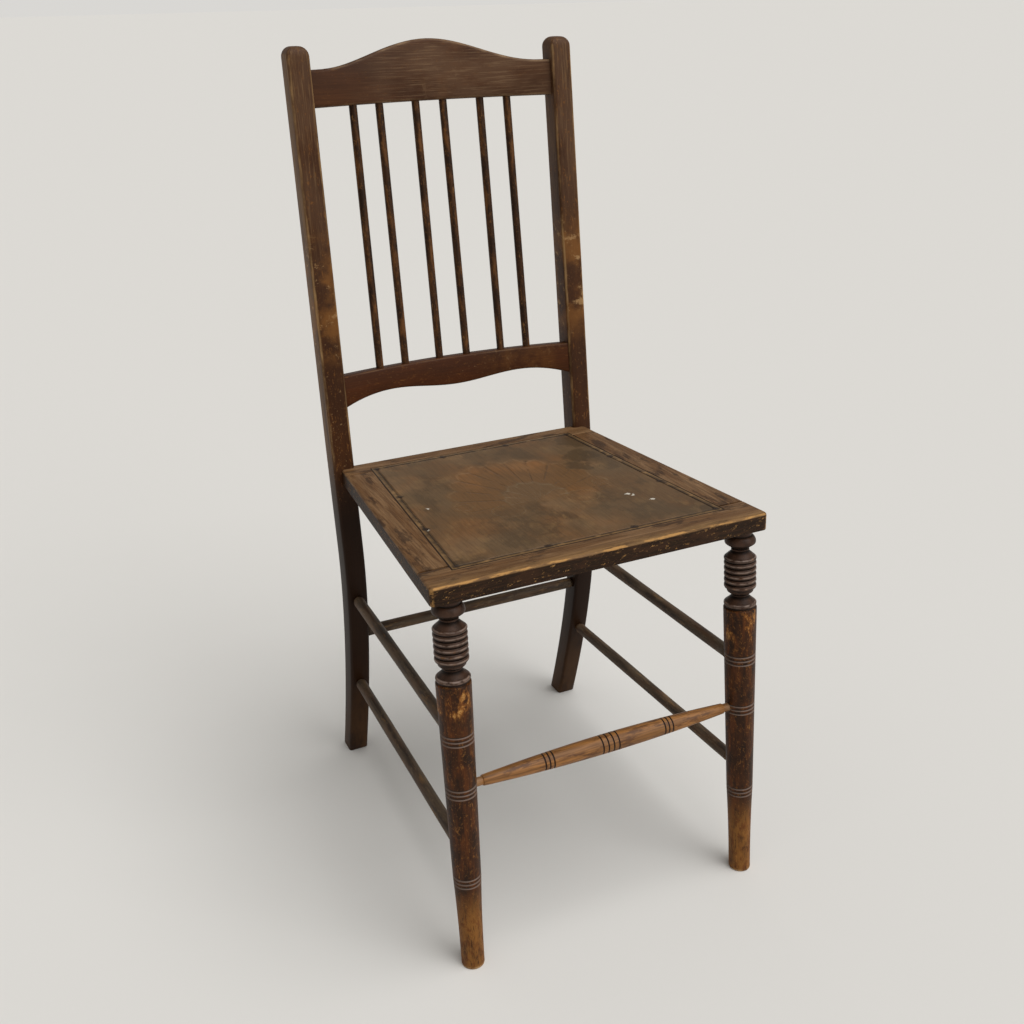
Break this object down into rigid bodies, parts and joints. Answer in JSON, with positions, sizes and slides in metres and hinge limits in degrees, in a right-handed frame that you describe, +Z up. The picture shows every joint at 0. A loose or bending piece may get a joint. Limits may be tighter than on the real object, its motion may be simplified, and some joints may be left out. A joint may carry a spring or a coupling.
{
  "type": "dining chair",
  "caption": "Light wooden side chair with ring-turned splayed front legs, raked spindle back, shaped crest and lower rails and a flat framed seat with a nailed panel.",
  "frame": {"origin": "on the floor, under the middle of the box around the chair", "axes": "+Z up; the chair faces -Y; +X is to the right when looking at the chair from the front; left and right in node names are as seen from the front"},
  "size_m": [0.3802, 0.4852, 0.9041],
  "materials": {
    "dark_stained_wood": "dark brown stain and old shellac, worn bright on the arrises",
    "seat_frame_wood": "worn grey-brown stain, satin",
    "pressed_plywood": "stained plywood pressed with a fine relief, worn satin",
    "leg_wood": "orange-brown stain, mottled and scratched, satin",
    "pale_worn_wood": "stain rubbed away to warm light wood",
    "stretcher_wood": "worn grey-brown stain",
    "dark_iron": "dark oxidised nail heads"
  },
  "bodies": {
    "root": {"rear_post_left": "dark_stained_wood", "rear_post_right": "dark_stained_wood", "crest_rail": "dark_stained_wood", "lower_back_rail": "dark_stained_wood", "back_spindle_1": "dark_stained_wood", "back_spindle_2": "dark_stained_wood", "back_spindle_3": "dark_stained_wood", "back_spindle_4": "dark_stained_wood", "back_spindle_5": "dark_stained_wood", "back_spindle_6": "dark_stained_wood", "seat_front_rail": "seat_frame_wood", "seat_back_rail": "seat_frame_wood", "seat_side_rail_left": "seat_frame_wood", "seat_side_rail_right": "seat_frame_wood", "seat_panel": "pressed_plywood", "panel_nail_01": "dark_iron", "panel_nail_02": "dark_iron", "panel_nail_03": "dark_iron", "panel_nail_04": "dark_iron", "panel_nail_05": "dark_iron", "panel_nail_06": "dark_iron", "panel_nail_07": "dark_iron", "panel_nail_08": "dark_iron", "panel_nail_09": "dark_iron", "panel_nail_10": "dark_iron", "panel_nail_11": "dark_iron", "panel_nail_12": "dark_iron", "front_leg_left": "leg_wood", "front_leg_right": "leg_wood", "front_stretcher": "pale_worn_wood", "side_stretcher_upper_left": "stretcher_wood", "side_stretcher_upper_right": "stretcher_wood", "side_stretcher_lower_left": "stretcher_wood", "side_stretcher_lower_right": "stretcher_wood", "rear_stretcher": "stretcher_wood"}
  },
  "joints": []
}
